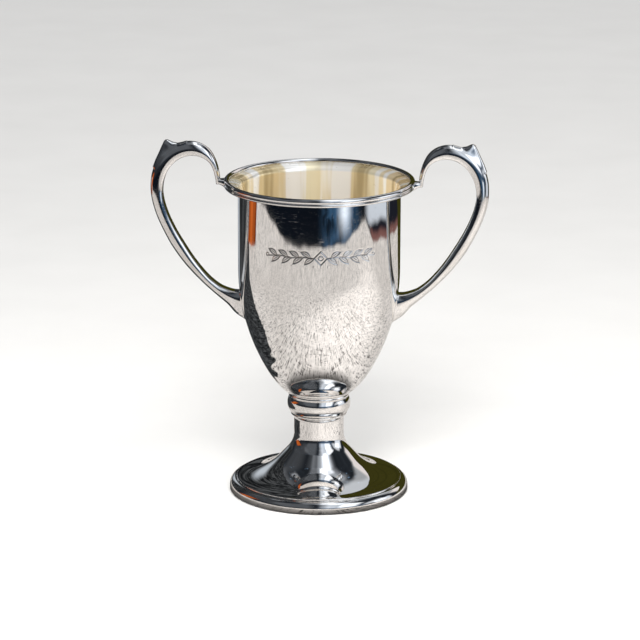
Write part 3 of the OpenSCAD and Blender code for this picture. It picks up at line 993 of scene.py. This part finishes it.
def tweed_card():
    """The pale flecked seat under the cup, the room beyond its edge and the scarf's end that lies on it."""
    net = Net("card_tweed")
    at = net.metres()
    x, y, _ = net.axes(at)
    r = net.vmath("LENGTH", at, out=1)
    p = net.scaled(at, 1000.0)
    warp = net.noise(net.turned(p, (0, 0, 0), (0.72, 0.085, 1)), 0.9, 2, 0.6)
    weft = net.noise(net.turned(p, (0, 0, 0), (0.10, 0.62, 1)), 0.9, 2, 0.6)
    fleck = net.smooth(net.plus(net.times(warp, 0.66), net.times(weft, 0.34)), 0.50, 0.42)
    slub = net.smooth(net.noise(net.turned(p, (0, 0, 0), (0.5, 0.5, 1)), 0.22, 3, 0.6), 0.40, 0.62)
    colour = net.blend(fleck, (0.84, 0.795, 0.765), (0.12, 0.112, 0.108))
    colour = net.blend(slub, colour, (0.66, 0.63, 0.60), 0.6)
    # painted sunlit pool to the right and in front, which lifts the seat's brightness there
    px = net.math("DIVIDE", net.minus(x, 0.19), 0.20)
    py = net.math("DIVIDE", net.plus(y, 0.12), 0.12)
    pool = net.smooth(net.plus(net.times(px, px), net.times(py, py)), 2.4, 0.0)
    lift = net.plus(1.0, net.times(pool, 0.55))
    colour = net.scaled(colour, lift)
    # the cup's own shade round its foot, painted on the card, and a painted bright disc under the foot where
    # its underside is seen from below
    shade = net.lerp(net.smooth(r, 0.0375, 0.056), 0.10, 1.0)
    hollow = net.smooth(r, 0.034, 0.031)
    colour = net.scaled(colour, net.math("MAXIMUM", shade, hollow))
    # the seat ends in front, and the room beyond it is dark
    azimuth = net.bearing(x, y)
    edge = 0.486
    for sign, bend, rate in ((-1.0, 42.0, 0.0021), (1.0, 30.0, 0.0016), (1.0, 66.0, -0.0058)):
        turn_by = net.math("MAXIMUM", net.minus(net.times(azimuth, sign), bend), 0.0)
        edge = net.plus(edge, net.times(turn_by, rate))
    uneven = net.noise(net.join(net.times(azimuth, 0.06), 0.0, 0.0), 1.0, 1, 0.5)
    edge = net.plus(net.math("MAXIMUM", edge, 0.484), net.swing(uneven, 0.034))
    depth = net.minus(r, edge)
    past = net.times(net.smooth(depth, -0.006, 0.006), net.between(azimuth, -90, 146, 2))
    haze = net.streaks(p, (0.012, 0.012, 1))
    far = net.blend(net.times(net.between(azimuth, 8, 52, 12), net.smooth(haze, 0.3, 0.62)),
                    (0.004, 0.006, 0.010), (0.04, 0.10, 0.19))
    beam = net.times(net.between(azimuth, 30, 40, 9), net.smooth(r, 0.485, 0.58))
    far = net.blend(beam, far, (1.25, 1.38, 1.55))
    # beyond the seat on the right, a dark thing with a reddish edge and a pale one behind it
    dark = net.blend(net.smooth(depth, 0.034, 0.010), (0.012, 0.013, 0.02), (0.20, 0.095, 0.085))
    far = net.blend(net.smooth(azimuth, 71, 79), far, dark)
    step = net.lerp(net.smooth(azimuth, 70, 82), 0.0, 0.036)
    pale = net.times(net.between(azimuth, 68, 112, 5), net.smooth(net.minus(depth, step), 0, 0.025))
    far = net.blend(pale, far, (0.60, 0.65, 0.72))
    colour = net.blend(past, colour, far)
    # the scarf's end lies on the seat to the left
    fringe = net.streaks(p, (0.10, 0.02, 1), 2, 0.5)
    reach = net.swing(fringe, 0.07)
    slant = net.math("MINIMUM", net.plus(-0.088, net.times(y, 0.5)), -0.046)
    inward = net.minus(net.plus(slant, reach), x)
    back = net.math("MAXIMUM", net.minus(-0.14, x), 0.0)
    forward = net.minus(net.minus(y, 0.006), net.times(back, 0.66))
    forward = net.plus(forward, net.times(reach, 0.4))
    scarf = net.smooth(net.math("MINIMUM", inward, forward), -0.002, 0.002)
    strand = net.streaks(p, (0.35, 0.05, 1), 3, 0.6, 0.4, (0, 0, 0.5))
    wool = net.blend(net.smooth(strand, 0.38, 0.68), (0.010, 0.011, 0.012), (0.085, 0.09, 0.095))
    colour = net.blend(scarf, colour, wool)
    stage_mesh("card_tweed", *square(1.6, -0.0004), glow(net, colour))


def sofa_card():
    """The sofa's ribbed olive back, behind and to the right."""
    net = Net("card_sofa")
    x, _, _ = net.axes(net.metres())
    wave = net.math("FRACT", net.math("DIVIDE", x, 0.027))
    crown = net.smooth(net.math("ABSOLUTE", net.minus(wave, 0.5)), 0.56, 0.30)
    pile = net.noise(net.mm(), 0.12, 3)
    # painted light and shade: the crowns of the ribs are lighter, the hollows between them darker
    colour = net.blend(crown, (0.034, 0.032, 0.006), (0.048, 0.045, 0.008))
    colour = net.blend(pile, colour, (0.022, 0.021, 0.005), 0.6)
    line = [(-0.02, 0.25), (0.13, 0.25), (0.32, 0.42), (1.2, 0.62)]
    stage_mesh("card_sofa", *screen(line, 0.23), glow(net, colour))


def scarf_card():
    """The dark scarf that hangs behind and to the left, with a pale gap low down."""
    net = Net("card_scarf")
    strand = net.streaks(net.mm(), (0.16, 0.16, 0.02), 3, 0.6, 0.5)
    colour = net.blend(net.smooth(strand, 0.42, 0.66), (0.006, 0.007, 0.008), (0.085, 0.09, 0.095))
    x, _, z = net.axes(net.metres())
    gap = net.times(net.between(x, -0.118, -0.084, 0.01), net.between(z, 0.03, 0.12, 0.03))
    colour = net.blend(gap, colour, (0.52, 0.57, 0.63))
    line = [(-0.42, 0.30), (-0.34, 0.22), (-0.22, 0.17), (-0.13, 0.18), (-0.07, 0.24), (-0.02, 0.26)]
    stage_mesh("card_scarf", *screen(line, 0.38), glow(net, colour))


def orange_card():
    """Something orange at the far left."""
    net = Net("card_orange")
    x, _, z = net.axes(net.metres())
    band = net.noise(net.join(net.times(x, 40.0), net.times(z, 2.0), 0.0), 1.0, 2, 0.5)
    colour = net.blend(net.smooth(band, 0.42, 0.58), (0.15, 0.03, 0.008), (0.55, 0.12, 0.022))
    away, top = 0.47, 0.155
    verts = []
    for azimuth, z in ((-118, 0), (-99, 0), (-80, top), (-99, top)):
        a = math.radians(azimuth)
        verts.append((away * math.sin(a), -away * math.cos(a), z))
    stage_mesh("card_orange", verts, [(0, 1, 2, 3)], glow(net, colour))


def dome():
    """The room: near black, with windows and pale walls given by direction."""
    net = Net("card_room")
    way = net.vmath("NORMALIZE", net.metres())
    x, y, z = net.axes(way)
    azimuth = net.bearing(x, y)
    rise = net.times(net.math("ARCSINE", z), 180 / math.pi)
    ripple = net.noise(net.scaled(way, 5.0), 1.0, 3, 0.6)
    glint = net.smooth(net.noise(net.scaled(way, 14.0), 1.0, 2, 0.5), 0.66, 0.74)
    total = net.blend(ripple, (0.003, 0.004, 0.006), (0.030, 0.036, 0.045))
    glint = net.times(glint, net.smooth(rise, 5, 30))
    total = net.vmath("ADD", total, net.scaled((0.10, 0.16, 0.24), glint))
    # low things, by azimuth from, to, elevation from, to, softness across, softness up, colour
    low = [
        (6, 60, -6, 24, 14, 10, (0.03, 0.065, 0.12)),
        (76, 106, -20, 23, 4, 4, (0.72, 0.77, 0.85)),
        (124, 166, 2, 34, 3, 3, (0.42, 0.355, 0.325)),
    ]
    for a0, a1, e0, e1, sa, se, colour in low:
        mask = net.times(net.between(azimuth, a0, a1, sa), net.between(rise, e0, e1, se))
        total = net.vmath("ADD", total, net.scaled(colour, mask))
    # high things, by rightward share from, to, share towards the front from, to, softness, colour
    sway = net.swing(ripple, 0.10)
    across, along = net.plus(x, sway), net.minus(net.times(y, -1.0), sway)
    above = net.smooth(rise, 4, 14)
    high = [
        (0.04, 0.21, -0.46, 0.36, 0.04, (1.05, 1.09, 1.15)),
        (-0.03, 0.38, -0.92, 0.40, 0.06, (0.19, 0.205, 0.225)),
        (0.02, 0.78, -0.84, -0.46, 0.08, (0.34, 0.35, 0.365)),
        (0.42, 0.74, 0.30, 1.10, 0.06, (1.15, 1.20, 1.28)),
        (0.02, 0.36, 0.34, 1.10, 0.06, (0.17, 0.185, 0.205)),
        (0.05, 0.22, 0.36, 1.10, 0.05, (0.15, 0.16, 0.18)),
        (0.16, 0.46, 0.24, 1.10, 0.08, (0.46, 0.50, 0.56)),
        (0.20, 0.38, 0.08, 0.52, 0.05, (0.60, 0.63, 0.68)),
        (-0.78, -0.14, 0.34, 1.10, 0.10, (0.075, 0.08, 0.088)),
        (0.84, 1.10, -0.12, 0.62, 0.05, (0.60, 0.63, 0.68)),
        (0.28, 0.48, -0.28, 0.26, 0.07, (0.20, 0.21, 0.23)),
        (-0.64, -0.24, -0.84, -0.36, 0.10, (0.10, 0.103, 0.108)),
        (-0.24, 0.02, -0.30, 0.40, 0.06, (0.13, 0.137, 0.15)),
        (-0.50, -0.38, -0.24, -0.10, 0.05, (0.30, 0.31, 0.33)),
        (-0.95, -0.55, -0.40, 0.50, 0.12, (0.035, 0.036, 0.038)),
    ]
    for r0, r1, t0, t1, soft, colour in high:
        mask = net.times(net.between(across, r0, r1, soft), net.between(along, t0, t1, soft))
        total = net.vmath("ADD", total, net.scaled(colour, net.times(mask, above)))
    rows, cols, radius = 25, 48, 4.0
    verts = []
    for e in np.linspace(-math.pi / 2, math.pi / 2, rows):
        for a in even_angles(cols):
            level = radius * math.cos(e)
            verts.append((level * math.cos(a), level * math.sin(a), radius * math.sin(e)))
    stage_mesh("card_room", verts, grid_faces(rows, cols), glow(net, total))


def floor():
    net = Net("floor_plain")
    grain = net.noise(net.mm(), 0.02, 3)
    colour = net.blend(grain, (0.74, 0.73, 0.715), (0.80, 0.79, 0.775))
    material = net.surface("ShaderNodeBsdfPrincipled", {"Base Color": colour, "Roughness": 0.9,
                                                        "Specular IOR Level": 0.1})
    stage_mesh("floor", *square(30.0, -0.0003), material, only_gloss=False)


tweed_card()
orange_card()
sofa_card()
scarf_card()
dome()
floor()

world = bpy.data.worlds.new("studio")
world.use_nodes = True
background = world.node_tree.nodes["Background"]
background.inputs[0].default_value = (0.86, 0.87, 0.88, 1)
background.inputs[1].default_value = 0.84
bpy.context.scene.world = world


def soft_light(name, at, energy, size, colour):
    """A square lamp turned to the cup, unseen in the metal."""
    data = bpy.data.lights.new(name, "AREA")
    data.energy, data.size, data.color = energy, size, colour
    ob = bpy.data.objects.new(name, data)
    bpy.context.collection.objects.link(ob)
    ob.location = at
    ob.rotation_euler = (Vector((0, 0, 0.05)) - Vector(at)).to_track_quat("-Z", "Y").to_euler()
    ob.visible_glossy = False


soft_light("key", (0.9, -0.6, 1.5), 12, 0.7, (1.0, 0.98, 0.95))
soft_light("cup", (0.0, -0.35, 0.42), 3.0, 0.2, (1.0, 0.99, 0.97))
soft_light("fill", (-1.2, -0.9, 1.2), 5, 1.2, (0.95, 0.98, 1.0))

scene = bpy.context.scene
scene.view_settings.view_transform = "Standard"
scene.cycles.caustics_reflective = False
scene.cycles.caustics_refractive = False
scene.cycles.max_bounces = 12
scene.cycles.glossy_bounces = 8
